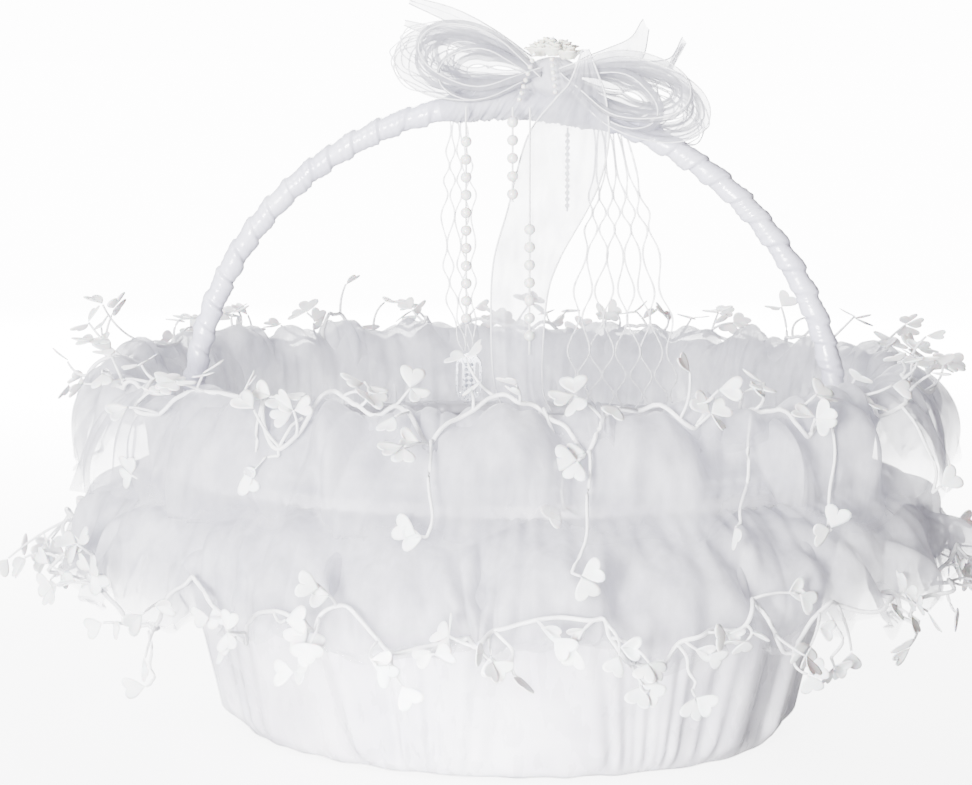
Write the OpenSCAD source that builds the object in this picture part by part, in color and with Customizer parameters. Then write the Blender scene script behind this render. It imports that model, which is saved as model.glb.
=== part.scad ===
// Flower girl basket: an oval wicker basket dressed in satin, with two organza ruffles
// trimmed with a petal vine, a satin-wrapped hoop handle and a bow that strands of pearls,
// a ribbon, a lace and a net trail hang from. Millimetres. X runs along the handle's
// plane, Y from front to back and Z up from the surface that the basket stands on.

/* [Wicker body] */
// Length of the wicker body at its rim
rim_length = 280; // [274:1:286]
// Width of the wicker body at its rim, front to back
rim_width = 228; // [222:1:232]
// Height of the wicker rim above the table
rim_height = 120; // [116:1:124]
// How far the wall leans out for each millimetre of height
wall_lean = 0.24; // [0.22:0.01:0.26]
// Thickness of the woven wall
weave_t = 2; // [1.6:0.1:2]
// Diameter of the upright canes
stake_d = 2.6; // [2:0.1:2.8]
// Number of upright canes
stake_count = 28; // [20:2:36]
// Thickness of the plywood base
board_t = 4; // [3:0.5:4]

/* [Handle] */
// Diameter of the handle's cane
cane_d = 6.4; // [6:0.1:6.6]
// Diameter of the handle over its ribbon
wrap_d = 9; // [8.4:0.1:9.2]
// Thickness of the handle's flattened feet
foot_t = 3.6; // [3:0.1:3.6]
// Width of the handle's flattened feet
foot_w = 8; // [6:0.5:9]

/* [Ruffles] */
// How far the ruffles stand out from the rim
ruffle_reach = 43; // [40:1:46]
// Height of the lower ruffle's hem above the table
hem_height = 68; // [62:1:74]
// Height of the upper ruffle's crest above the table
crest_height = 151; // [148:1:154]
// Thickness of a ruffle as one soft solid
ruffle_t = 3; // [2:0.5:3.5]
// Diameter of the satin cord in the vine
vine_d = 1.8; // [1.4:0.1:2]
// Width of one petal
petal_w = 9.6; // [8:0.2:10]

/* [Bow and trails] */
// Diameter of a pearl
pearl_d = 4.5; // [4:0.1:4.8]
// Distance from one pearl to the next
pearl_pitch = 7.2; // [6.4:0.1:8]
// Diameter of the thread that holds the pearls
thread_d = 0.8; // [0.5:0.1:1]
// Thickness of a ribbon, lace or net as a soft solid
ribbon_t = 0.8; // [0.6:0.1:1]

/* [Hidden] */
$fn = 48;

clearance = 0.25;
rim_a = rim_length / 2;
rim_b = rim_width / 2;

// The oval is four arcs that meet smoothly: an arc of end_r round each end and an arc of
// side_r along each side. The line through two neighbouring centres is the long side of a
// 3-4-5 triangle. An outline drawn a set distance out from the oval has the same centres.
step = (rim_length - rim_width) / 4;
end_x = 3 * step;
side_y = 4 * step;
end_r = rim_a - end_x;
side_r = end_r + 5 * step;
end_turn = atan2(4, 3);

// Heights of the layers in the bottom of the basket
card_t = 1;
cloth_t = 1;
board_z = card_t + cloth_t + 0.2;
board_top = board_z + board_t;
pad_t = 5.4;
pad_z = board_top + 0.4;
lining_z = pad_z + pad_t + 0.3;
wall_foot_z = board_top + 1.8;
rim_top = rim_height - 2;

// The handle is a half circle whose centre lies a little above the rim
handle_r = rim_a - 5;
handle_z = rim_height + 4;
wrap_r = wrap_d / 2;
foot_depth = weave_t + clearance + foot_t / 2;
foot_bottom_z = 40;

// Layers outside the wall, as distances out from the face of the weave
hoop_t = 2;
hoop_h = 9;
cover_gap = hoop_t + 0.6;
// Layers inside the wall, as distances in from the face of the weave
lining_gap = foot_depth + foot_t / 2 + hoop_t + 0.8;

// The bow sits a little to the right of the handle's top
band_r = wrap_r + 2.5;
band_start = 73;
band_turn = 29;
knot_x = 18;
knot_r = 7.5;
knot_z = handle_z + handle_r + 10.5;
rosette_z = knot_z + knot_r + 2;

// The wide ribbon tail hangs before the handle with two pearl strands before it, and the
// lace and the net trail hang behind the handle
hang_z = handle_z + handle_r - 1;
front_y = -(band_r + pearl_d / 2 + 1.75);
tail_y = -(band_r + 3.6);
pearl_y = tail_y - 3.9;
back_y = band_r + 2;
end_y = back_y + 8;
loop_y = -9;
loop_w = 12;
net_loop_y = 4;

// A strand is [x, y and z of its top, length, how far down its beads start, their number].
// The short strand of seed beads hangs from under the bow and the others from its front.
left_strand = [-16, front_y, hang_z, 88, 14, 11];
short_strand = [3.5, pearl_y, hang_z, 38, 6, 5];
long_strand = [10.5, pearl_y, hang_z, 100, 49, 7];
bead_strand = [24, 0, hang_z - 8.6, 34, 3, 12];
seed_d = 2;
seed_pitch = 2.6;

// Distance of the weave's outer face from the rim's outline at height z
function face(z) = (z - rim_height) * wall_lean;

// Point a distance out from the oval, on the normal that points to the angle turn
function oval_point(turn, out) =
    let (s = cos(turn), end = abs(s) > cos(end_turn))
    end ? [sign(s) * end_x + (end_r + out) * s, (end_r + out) * sin(turn)]
        : [(side_r + out) * s, (side_r + out) * sin(turn) - sign(sin(turn)) * side_y];

// Angle of the normal at a fraction of the way round, which spaces things evenly
function oval_turn(fraction) =
    let (
        arc_end = end_r * end_turn,
        arc_side = side_r * (90 - end_turn),
        quarter = floor(fraction * 4),
        part = fraction * 4 - quarter,
        along = (quarter % 2 == 0 ? part : 1 - part) * (arc_end + arc_side),
        turn = along < arc_end ? along / end_r : end_turn + (along - arc_end) / side_r
    )
    quarter * 90 + (quarter % 2 == 0 ? turn : 90 - turn);

// A repeatable number from -1 to 1, for what is never quite regular
function uneven(i, k) = sin(i * 137.5 + k * 83);

// Draws its 2D child round the oval. The child's X is the distance out and its Y is height.
// Each arc is a full ring cut by the two lines through neighbouring centres.
module oval_sweep() {
    far = 100;
    high = 2 * rim_height;
    for (end = [0, 180])
        rotate([0, 0, end]) {
            intersection() {
                translate([end_x, 0, 0])
                    rotate_extrude()
                        translate([end_r, 0])
                            children();
                linear_extrude(high)
                    polygon([
                        [end_x, 0], [end_x + 3 * far, -4 * far], [end_x + 3 * far, 4 * far]
                    ]);
            }
            intersection() {
                translate([0, -side_y, 0])
                    rotate_extrude()
                        translate([side_r, 0])
                            children();
                linear_extrude(high)
                    polygon([
                        [0, -side_y], [3 * far, 4 * far - side_y], [-3 * far, 4 * far - side_y]
                    ]);
            }
        }
}

// A flat oval plate that reaches a distance out from the rim's outline
module oval_plate(out, z, t) {
    join_x = end_x + (end_r + out) * cos(end_turn);
    translate([0, 0, z])
        linear_extrude(t) {
            for (side = [-1, 1])
                translate([side * end_x, 0])
                    circle(end_r + out, $fn = 96);
            intersection() {
                translate([0, side_y])
                    circle(side_r + out, $fn = 192);
                translate([0, -side_y])
                    circle(side_r + out, $fn = 192);
                square([2 * join_x, 4 * rim_b], center = true);
            }
        }
}

// A band that follows the leaning wall between two heights and two distances from its face
module wall_band(low, high, inner, outer) {
    oval_sweep()
        polygon([
            [face(low) + inner, low], [face(low) + outer, low],
            [face(high) + outer, high], [face(high) + inner, high]
        ]);
}

// A closed band of cloth, t thick, along a list of [distance out, height] points
module cloth_band(line, t) {
    count = len(line);
    side = [
        for (i = [0 : count - 1])
            let (
                a = line[max(i - 1, 0)],
                b = line[min(i + 1, count - 1)],
                d = (b - a) / norm(b - a)
            )
            [-d[1], d[0]] * t / 2
    ];
    oval_sweep()
        polygon(concat(
            [for (i = [0 : count - 1]) line[i] + side[i]],
            [for (i = [count - 1 : -1 : 0]) line[i] - side[i]]
        ));
}

// A tube swept along a list of points. A closed one joins its last ring to its first.
module tube(points, d, sides, closed = false) {
    count = len(points);
    function ahead(i) = closed ? points[(i + 1) % count] : points[min(i + 1, count - 1)];
    function behind(i) = closed ? points[(i + count - 1) % count] : points[max(i - 1, 0)];
    rings = [
        for (i = [0 : count - 1])
            let (
                t = (ahead(i) - behind(i)) / norm(ahead(i) - behind(i)),
                up = abs(t[2]) > 0.9 ? [0, 1, 0] : [0, 0, 1],
                u = cross(t, up) / norm(cross(t, up)),
                v = cross(u, t)
            )
            for (k = [0 : sides - 1])
                points[i] + (u * cos(360 * k / sides) + v * sin(360 * k / sides)) * d / 2
    ];
    last = closed ? count - 1 : count - 2;
    walls = [
        for (i = [0 : last])
            for (k = [0 : sides - 1])
                let (
                    n = (k + 1) % sides,
                    a = i * sides,
                    b = ((i + 1) % count) * sides
                )
                each [[a + k, b + k, b + n], [a + k, b + n, a + n]]
    ];
    caps = closed ? [] : [
        [for (k = [0 : sides - 1]) k],
        [for (k = [sides - 1 : -1 : 0]) last * sides + sides + k]
    ];
    polyhedron(rings, concat(walls, caps));
}

// The woven body

module base_board() {
    color("burlywood")
        oval_plate(face(board_z) - 4, board_z, board_t);
}

// Moves its children to both feet of the handle, with X pointing out through the wall
module at_each_foot(z, inward) {
    for (side = [0, 180])
        rotate([0, 0, side])
            translate([rim_a + face(z) - inward, 0, z])
                children();
}

pin_heights = [58, 96];
pin_d = 1.4;
pin_head_d = 3.2;
pin_lift = 0.45;

module pin_holes(d) {
    for (z = pin_heights)
        at_each_foot(z, 0)
            rotate([0, 90, 0])
                cylinder(d = d, h = 30, center = true);
}

module wall_weave() {
    color("tan")
        difference() {
            wall_band(wall_foot_z, rim_top - 2, -weave_t, 0);
            pin_holes(pin_d + 0.1);
        }
}

module wall_stakes() {
    length = (rim_top - wall_foot_z - 2) / cos(atan(wall_lean));
    inward = weave_t + clearance + stake_d / 2 + 0.1;
    color("peru")
        for (i = [0 : stake_count - 1]) {
            turn = oval_turn((i + 0.5) / stake_count);
            foot = oval_point(turn, face(wall_foot_z) - inward);
            translate([foot[0], foot[1], wall_foot_z])
                rotate([0, 0, turn])
                    rotate([0, atan(wall_lean), 0])
                        cylinder(d = stake_d, h = length);
        }
}

module rim_hoop_outer() {
    color("burlywood")
        wall_band(rim_top - hoop_h, rim_top, 0.2, 0.2 + hoop_t);
}

module rim_hoop_inner() {
    inner_face = foot_depth + foot_t / 2 + clearance;
    color("burlywood")
        wall_band(rim_top - hoop_h, rim_top, -inner_face - hoop_t, -inner_face);
}

// The handle

// An arc of the handle's own circle, in the XZ plane, drawn from its 2D child
module handle_arc(start, turn) {
    translate([0, 0, handle_z])
        rotate([90, 0, 0])
            rotate([0, 0, start])
                rotate_extrude(angle = turn, $fn = 144)
                    translate([handle_r, 0])
                        children();
}

module handle_rod() {
    sink = asin((handle_z - rim_top - 1.5) / handle_r);
    foot_top_z = rim_top + 3;
    lean = atan(wall_lean);
    length = (foot_top_z - foot_bottom_z) / cos(lean);
    color("burlywood")
        difference() {
            union() {
                handle_arc(-sink, 180 + 2 * sink)
                    circle(d = cane_d);
                at_each_foot(foot_top_z, foot_depth)
                    rotate([0, lean, 0])
                        translate([-foot_t / 2, -foot_w / 2, -length])
                            cube([foot_t, foot_w, length]);
            }
            pin_holes(pin_d + 0.1);
        }
}

module handle_pins() {
    shank = weave_t + clearance + foot_t;
    color("silver")
        for (z = pin_heights)
            at_each_foot(z, 0)
                rotate([0, 90, 0]) {
                    translate([0, 0, -shank])
                        cylinder(d = pin_d, h = shank + pin_lift);
                    translate([0, 0, pin_lift])
                        cylinder(d = pin_head_d, h = 0.5);
                }
}

module handle_wrap() {
    start = 0.6;
    color("white")
        handle_arc(start, 180 - 2 * start)
            difference() {
                circle(r = wrap_r);
                circle(d = cane_d + 0.4);
            }
}

// The satin and the padding

// The cover hangs clear of the pins' heads
module satin_cover() {
    low = card_t + cloth_t / 2;
    pin_gap = 2;
    line = [
        [face(0) - 12, low], [face(0) - 3.6, low], [face(0) - 0.6, low + 1.6],
        [face(8) + 2, 8], [face(60) + pin_gap, 60], [face(96) + pin_gap, 96],
        [face(104) + cover_gap + 0.5, 104], [face(rim_top) + cover_gap + 0.5, rim_top + 0.6]
    ];
    color("white")
        cloth_band(line, cloth_t);
}

module base_cover() {
    color("whitesmoke")
        oval_plate(face(0) - 4.5, 0, card_t - 0.05);
}

module floor_pad() {
    color("whitesmoke")
        oval_plate(face(pad_z) - lining_gap - cloth_t - 0.4, pad_z, pad_t);
}

// The satin-covered card that lies on the floor pad, inside the lining
module floor_card() {
    color("white")
        oval_plate(face(lining_z) - lining_gap - cloth_t - 0.4, lining_z, cloth_t);
}

module satin_lining() {
    color("white")
        wall_band(pad_z, rim_top + 0.6, -lining_gap - cloth_t, -lining_gap);
}

module rim_binding() {
    flap = 3.5;
    top = rim_top + 0.9;
    inner = face(top - flap) - lining_gap - cloth_t - 0.2;
    outer = face(rim_top) + cover_gap + cloth_t + 0.2;
    color("white")
        difference() {
            oval_sweep()
                difference() {
                    translate([inner - cloth_t, top - flap])
                        square([outer - inner + 2 * cloth_t, flap + cloth_t]);
                    translate([inner, top - 2 * flap])
                        square([outer - inner, 2 * flap]);
                }
            at_each_foot(rim_top, 0)
                translate([handle_r - rim_a, 0, -4])
                    cylinder(d = foot_w + 1.6, h = 10);
        }
}

// The ruffles

band_out = cover_gap + 2 * cloth_t + 1.2;

module heading_band() {
    color("white")
        wall_band(rim_top - 9, rim_top - 0.5, band_out, band_out + 1);
}

lower_line = [
    [band_out + 2.8, rim_height - 11], [0.42 * ruffle_reach, rim_height - 12],
    [0.74 * ruffle_reach, rim_height - 19], [0.92 * ruffle_reach, rim_height - 30],
    [0.97 * ruffle_reach, rim_height - 42], [0.94 * ruffle_reach, hem_height]
];
upper_line = [
    [band_out + 2.8, rim_height - 4], [0.24 * ruffle_reach, crest_height - 20],
    [0.37 * ruffle_reach, crest_height - 6], [0.54 * ruffle_reach, crest_height - 1],
    [0.74 * ruffle_reach, crest_height - 5], [0.89 * ruffle_reach, crest_height - 15],
    [0.96 * ruffle_reach, crest_height - 27], [0.95 * ruffle_reach, crest_height - 40]
];

module lower_ruffle() {
    color("ghostwhite")
        cloth_band(lower_line, ruffle_t);
}

module upper_ruffle() {
    color("ghostwhite")
        cloth_band(upper_line, ruffle_t);
}

// The vine trim: a satin cord that wanders along a ruffle, with petals on short stems

vine_rings = 144;

// Points of a vine that wanders sideways by swing and up and down by rise
function vine_line(out, z, swing, rise, waves) = [
    for (i = [0 : vine_rings - 1])
        let (
            turn = oval_turn(i / vine_rings),
            phase = 360 * waves * i / vine_rings,
            p = oval_point(turn, out + swing * cos(phase * 2))
        )
        [p[0], p[1], z + rise * sin(phase)]
];

lower_vine_out = ruffle_reach + 2.4;
lower_vine_z = hem_height + 6;
upper_vine_out = 0.7 * ruffle_reach;
upper_vine_z = crest_height + 2.2;

module vine_lower() {
    color("white")
        tube(vine_line(lower_vine_out, lower_vine_z, 0.8, 6, 18), vine_d, 6, closed = true);
}

module vine_upper() {
    color("white")
        tube(vine_line(upper_vine_out, upper_vine_z, 2, 1.2, 18), vine_d, 6, closed = true);
}

// A sprig is [fraction of the way round, distance out, height, lift, length]. Its lift is
// the angle it rises at. The first few are long ones that stand well out at the left end.
function sprigs(count, out, z, lift, reach) = [
    for (i = [0 : count - 1])
        [
            (i + 0.5 + 0.2 * uneven(i, 1)) / count,
            out + 1.8,
            z + 2 * uneven(i, 2),
            lift + 24 * uneven(i, 3),
            reach * (1 + 0.35 * uneven(i, 4))
        ]
];

lower_sprigs = concat(
    sprigs(46, lower_vine_out, lower_vine_z - 2, -35, 8),
    [[0.49, lower_vine_out + 1.8, 84, 20, 22], [0.515, lower_vine_out + 1.8, 96, 35, 18]]
);
upper_sprigs = sprigs(44, upper_vine_out + 1, upper_vine_z + 1.6, 30, 9);

stem_d = 1.2;

// Moves its children to a sprig's root, with X pointing along its stem
module at_sprig(sprig) {
    turn = oval_turn(sprig[0]);
    root = oval_point(turn, sprig[1]);
    translate([root[0], root[1], sprig[2]])
        rotate([0, 0, turn])
            rotate([0, -sprig[3], 0])
                children();
}

module stems(list) {
    for (sprig = list)
        at_sprig(sprig)
            rotate([0, 90, 0])
                cylinder(d = stem_d, h = sprig[4], $fn = 16);
}

// A heart-shaped petal in the XY plane with its point at the stem
module petal(w, t) {
    scale_r = w / 2;
    linear_extrude(t, center = true)
        polygon([
            for (a = [0 : 24 : 336])
                [
                    scale_r * (1 + (13 * cos(a) - 5 * cos(2 * a) - 2 * cos(3 * a)) / 16),
                    scale_r * pow(sin(a), 3)
                ]
        ]);
}

module petals(list, seed) {
    for (i = [0 : len(list) - 1])
        at_sprig(list[i])
            translate([list[i][4] + 0.2, 0, 0])
                rotate([60 * uneven(i, seed), 25 * uneven(i, seed + 1), 0])
                    petal(petal_w * (1 - 0.06 * uneven(i, seed + 2)), 0.6);
}

module sprigs_lower() {
    color("white")
        stems(lower_sprigs);
}

module sprigs_upper() {
    color("white")
        stems(upper_sprigs);
}

module petals_lower() {
    color("white")
        petals(lower_sprigs, 5);
}

module petals_upper() {
    color("white")
        petals(upper_sprigs, 9);
}

// The bow

module bow_band() {
    color("lavender")
        handle_arc(band_start, band_turn)
            difference() {
                circle(r = band_r);
                circle(r = wrap_r + 0.25);
            }
}

// The knot sits on the band, which is hollowed out of it
module bow_knot() {
    color("lavender")
        difference() {
            translate([knot_x, 0, knot_z])
                sphere(r = knot_r);
            handle_arc(band_start, band_turn)
                circle(r = band_r);
        }
}

// Outline of a ribbon loop that starts at its tip and swells to the given height
function loop_outline(length, height, inset) = [
    for (a = [0 : 15 : 345])
        let (along = (1 - cos(a)) / 2)
        [
            inset * 2.5 + along * (length - 3.5 * inset),
            (height / 2 - inset) * sin(a) * sqrt(along) * 1.15
        ]
];

// A loop of ribbon at the knot, seen from the front, between two depths
module ribbon_loop(side, angle, length, height, y_start, width) {
    translate([knot_x + side * (knot_r + 0.05), y_start, knot_z + 1])
        rotate([0, -side * angle, 0])
            mirror([side < 0 ? 1 : 0, 0, 0])
                translate([0, width, 0])
                    rotate([90, 0, 0])
                        linear_extrude(width)
                            difference() {
                                polygon(loop_outline(length, height, 0));
                                polygon(loop_outline(length, height, ribbon_t));
                            }
}

module organza_loop_left() {
    color("lavender")
        ribbon_loop(-1, 10, 58, 20, loop_y, loop_w);
}

module organza_loop_right() {
    color("lavender")
        ribbon_loop(1, -14, 54, 20, loop_y, loop_w);
}

module net_loop_left() {
    color("white")
        ribbon_loop(-1, 6, 64, 26, net_loop_y, loop_w);
}

module net_loop_right() {
    color("white")
        ribbon_loop(1, -8, 46, 24, net_loop_y, loop_w);
}

// A flat piece of ribbon in the XZ plane, with its middle at the depth y
module flat_ribbon(outline, y) {
    translate([0, y + ribbon_t / 2, 0])
        rotate([90, 0, 0])
            linear_extrude(ribbon_t)
                polygon(outline);
}

module ribbon_end_left() {
    color("lavender")
        flat_ribbon([[6, 284], [-14, 291], [-44, 301], [-20, 284.5], [4, 279.5]], end_y);
}

module ribbon_end_right() {
    color("lavender") {
        flat_ribbon([[31, 276], [38, 281], [54, 291], [50, 281], [36, 272]], end_y);
        flat_ribbon([[38, 271], [54, 268], [69, 283], [72, 271], [60, 262], [40, 267]], end_y);
    }
}

// Two rings of three petals, one above the other and turned to fill its gaps
module rosette_petals() {
    color("ivory")
        translate([knot_x, -1, rosette_z])
            for (i = [0 : 5])
                rotate([0, 0, 60 * i + 15])
                    translate([2, 0, 2 * (i % 2)])
                        rotate([0, -28, 0])
                            petal(8.4, 0.8);
}

module rosette_pearl() {
    color("ivory")
        translate([knot_x, -1, rosette_z + 4.6])
            sphere(d = 4);
}

// The pearl strands, which hang from the bow

thread_steps = 16;

module thread(strand) {
    tube([
        for (i = [0 : thread_steps])
            [strand[0], strand[1], strand[2] - strand[3] * i / thread_steps]
    ], thread_d, 8);
}

// Beads on a thread, each bored to fit it
module beads(strand, d, pitch) {
    for (i = [0 : strand[5] - 1])
        translate([strand[0], strand[1], strand[2] - strand[4] - i * pitch])
            difference() {
                sphere(d = d);
                cylinder(d = thread_d + 0.1, h = 2 * d, center = true);
            }
}

module pearl_thread_left() {
    color("white")
        thread(left_strand);
}

module pearls_left() {
    color("ivory")
        beads(left_strand, pearl_d, pearl_pitch);
}

module pearl_thread_short() {
    color("white")
        thread(short_strand);
}

module pearls_short() {
    color("ivory")
        beads(short_strand, pearl_d, pearl_pitch);
}

module pearl_thread_long() {
    color("white")
        thread(long_strand);
}

module pearls_long() {
    color("ivory")
        beads(long_strand, pearl_d, pearl_pitch);
}

module bead_thread() {
    color("white")
        thread(bead_strand);
}

module seed_beads() {
    color("ivory")
        beads(bead_strand, seed_d, seed_pitch);
}

// Seed beads in two short rows that lie on the front of the knot
module knot_beads() {
    rows = [[[12, 279], [6, 261], 8], [[19, 277], [20.5, 264], 6]];
    color("ivory")
        for (row = rows)
            for (i = [0 : row[2] - 1])
                let (p = row[0] + (row[1] - row[0]) * i / (row[2] - 1))
                translate([p[0], pearl_y + 1.6, p[1]])
                    sphere(d = seed_d);
}

// The wide ribbon: its fold comes off the knot and its tail hangs free below the fold

fold_z = 262.5;

module ribbon_fold() {
    color("lavender")
        flat_ribbon([
            [32, 280], [37.5, 271], [40, fold_z + 0.5], [22, fold_z + 0.5], [26, 267]
        ], tail_y);
}

module ribbon_tail() {
    color("lavender")
        flat_ribbon([
            [21.5, fold_z], [40.5, fold_z], [42, 246], [39, 230], [33.5, 217], [22, 196],
            [17, 179], [15.3, 146], [19, 134], [0, 133], [-4.6, 146], [-6, 170],
            [-5, 195], [1, 217], [9, 246]
        ], tail_y);
}

buckle_x = -18;
buckle_z = 145;
buckle_w = 11;
buckle_h = 20;
stone_d = 1.6;

module lace_trail() {
    buckle_top = buckle_z + buckle_h / 2;
    color("white")
        flat_ribbon([
            [-26, hang_z], [-20, hang_z], [-17, 205], [-14.5, buckle_top + 1],
            [-21.5, buckle_top + 1], [-28, 180], [-29, 205]
        ], back_y);
}

// A slot with round ends, upright, in the XZ plane
module upright_slot(w, h, t) {
    rotate([90, 0, 0])
        linear_extrude(t, center = true) {
            for (side = [-1, 1])
                translate([0, side * (h - w) / 2])
                    circle(d = w);
            square([w, h - w], center = true);
        }
}

module buckle_frame() {
    color("silver")
        translate([buckle_x, back_y, buckle_z])
            difference() {
                upright_slot(buckle_w, buckle_h, 1.6);
                for (side = [-1, 1])
                    translate([side * 3.6, 0, 0])
                        upright_slot(1.6, buckle_h - 7, 4);
            }
}

module buckle_stones() {
    color("aliceblue")
        for (column = [-1, 1])
            for (row = [-2.5 : 1 : 2.5])
                translate([buckle_x + column * 1.1, back_y - 0.9, buckle_z + row * 2.2])
                    rotate([90, 0, 0])
                        cylinder(d1 = stone_d, d2 = stone_d / 2, h = 0.8, $fn = 24);
}

module net_trail() {
    color("white")
        flat_ribbon([
            [33, hang_z], [44, hang_z], [50, 238], [60, 205], [67, 170], [71, 133],
            [58, 136], [46, 133], [34, 136], [22, 134], [24, 170], [29, 205], [33, 238]
        ], back_y);
}

base_board();
wall_weave();
wall_stakes();
rim_hoop_outer();
rim_hoop_inner();
handle_rod();
handle_pins();
handle_wrap();
satin_cover();
base_cover();
floor_pad();
floor_card();
satin_lining();
rim_binding();
heading_band();
lower_ruffle();
upper_ruffle();
vine_lower();
vine_upper();
sprigs_lower();
sprigs_upper();
petals_lower();
petals_upper();
bow_band();
bow_knot();
organza_loop_left();
organza_loop_right();
net_loop_left();
net_loop_right();
ribbon_end_left();
ribbon_end_right();
rosette_petals();
rosette_pearl();
knot_beads();
ribbon_fold();
ribbon_tail();
pearl_thread_left();
pearls_left();
pearl_thread_short();
pearls_short();
pearl_thread_long();
pearls_long();
bead_thread();
seed_beads();
lace_trail();
buckle_frame();
buckle_stones();
net_trail();
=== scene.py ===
"""Looks of the flower girl basket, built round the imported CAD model.

All shapes are worked out in millimetres and scaled to metres when their mesh is made.
"""

import math
import random

import bpy
import numpy as np
from mathutils import Matrix, Vector


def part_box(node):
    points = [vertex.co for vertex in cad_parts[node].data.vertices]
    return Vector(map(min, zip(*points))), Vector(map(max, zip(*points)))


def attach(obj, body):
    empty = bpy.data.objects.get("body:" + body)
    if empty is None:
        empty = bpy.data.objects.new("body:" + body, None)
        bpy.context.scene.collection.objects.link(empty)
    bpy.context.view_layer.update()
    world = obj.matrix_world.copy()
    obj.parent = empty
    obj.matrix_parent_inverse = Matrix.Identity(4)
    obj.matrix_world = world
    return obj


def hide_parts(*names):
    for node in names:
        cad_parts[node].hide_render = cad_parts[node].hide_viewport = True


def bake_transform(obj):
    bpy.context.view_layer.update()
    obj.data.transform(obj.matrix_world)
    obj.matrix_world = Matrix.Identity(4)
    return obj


MM = 0.001
TAU = 2 * math.pi

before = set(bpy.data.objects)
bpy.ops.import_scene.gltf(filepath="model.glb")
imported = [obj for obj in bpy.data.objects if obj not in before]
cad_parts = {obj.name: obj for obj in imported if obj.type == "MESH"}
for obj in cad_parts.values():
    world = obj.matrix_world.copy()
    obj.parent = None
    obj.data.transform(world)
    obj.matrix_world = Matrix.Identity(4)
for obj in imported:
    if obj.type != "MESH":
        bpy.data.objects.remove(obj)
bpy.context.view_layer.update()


def cad_box(node):
    """Lowest and highest corner of a CAD node in millimetres."""
    low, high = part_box(node)
    return low / MM, high / MM


def cad_middle(node):
    low, high = cad_box(node)
    return (low + high) / 2


# ---- sizes, from the frame ----------------------------------------------------------------

# The rim's outline is an oval of four arcs, and the wall leans out as it rises
RIM_Z = 120
WALL_LEAN = 0.24
weave_low, weave_high = cad_box("wall_weave")
RIM_A = weave_high.x + (RIM_Z - weave_high.z) * WALL_LEAN
RIM_B = weave_high.y + (RIM_Z - weave_high.z) * WALL_LEAN
OVAL_STEP = (RIM_A - RIM_B) / 2
END_X = 3 * OVAL_STEP
SIDE_Y = 4 * OVAL_STEP
END_R = RIM_A - END_X
SIDE_R = END_R + 5 * OVAL_STEP
END_TURN = math.atan2(4, 3)

RIM_TOP = cad_box("rim_hoop_outer")[1].z
LINING_OUT = cad_box("satin_lining")[1].x - RIM_A - (RIM_TOP + 0.6 - RIM_Z) * WALL_LEAN

# The handle is a half circle in the XZ plane
wrap_low, wrap_high = cad_box("handle_wrap")
CANE_R = (cad_box("handle_rod")[1].y - cad_box("handle_rod")[0].y) / 2
WRAP_R = (wrap_high.y - wrap_low.y) / 2
HANDLE_R = wrap_high.x - WRAP_R
HANDLE_Z = wrap_high.z - WRAP_R - HANDLE_R

KNOT = cad_middle("bow_knot")
TAIL_Y = cad_middle("ribbon_tail").y
BACK_Y = cad_middle("net_trail").y


def wall_out(z):
    """Distance of the weave's outer face from the rim's outline at height z."""
    return (z - RIM_Z) * WALL_LEAN


def oval_xy(fraction, out):
    """X and Y at fractions of the way round, a distance out from the rim's outline."""
    quarters = np.mod(fraction, 1.0) * 4
    quarter = np.floor(quarters)
    even = quarter % 2 == 0
    arc_end = END_R * END_TURN
    arc_side = SIDE_R * (math.pi / 2 - END_TURN)
    along = np.where(even, quarters - quarter, 1 - quarters + quarter) * (arc_end + arc_side)
    turn = np.where(along < arc_end, along / END_R, END_TURN + (along - arc_end) / SIDE_R)
    turn = quarter * math.pi / 2 + np.where(even, turn, math.pi / 2 - turn)
    c, s = np.cos(turn), np.sin(turn)
    on_end = np.abs(c) > math.cos(END_TURN)
    x = np.where(on_end, np.sign(c) * END_X + (END_R + out) * c, (SIDE_R + out) * c)
    y = np.where(on_end, (END_R + out) * s, (SIDE_R + out) * s - np.sign(s) * SIDE_Y)
    return x, y


def front_fraction(x):
    """Fraction of the way round at which the front of the rim has that X."""
    f = np.linspace(0.5, 1.0, 501)
    return float(np.interp(x, oval_xy(f, 0)[0], f))


# ---- small tools --------------------------------------------------------------------------


def waves(seed, low, high, terms=6):
    """A smooth random wave of fractions of the way round, about 1 high, that closes on itself.

    Its parts repeat from low to high times in one turn.
    """
    rng = random.Random(seed)
    parts = [
        (rng.randint(low, high), rng.uniform(0, TAU), rng.uniform(0.6, 1)) for _ in range(terms)
    ]
    size = math.sqrt(sum(a * a for _, _, a in parts) / 2) * 1.6
    return lambda f: sum(a * np.sin(TAU * n * f + p) for n, p, a in parts) / size


def clouds(seed, low, high, rise, terms=9):
    """A smooth random pattern both round the ring and across the cloth, about 1 high."""
    rng = random.Random(seed)
    parts = [
        (rng.randint(low, high), rng.uniform(-rise, rise), rng.uniform(0, TAU), rng.uniform(0.6, 1))
        for _ in range(terms)
    ]
    size = math.sqrt(sum(part[3] ** 2 for part in parts) / 2) * 1.6
    return lambda f, v: sum(a * np.sin(TAU * (n * f + m * v) + p) for n, m, p, a in parts) / size


def puffs(seed, count, spread):
    """Rounded humps with sharp valleys between them, from 0 to 1, uneven in width."""
    wobble = waves(seed, 2, max(3, count // 3), 7)
    return lambda f: np.abs(np.sin(math.pi * (count * f + spread * count / 10 * wobble(f))))


def smooth_step(x, low, high):
    """0 up to low, 1 from high on, and a smooth rise in between."""
    t = np.clip((x - low) / (high - low), 0, 1)
    return t * t * (3 - 2 * t)


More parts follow.
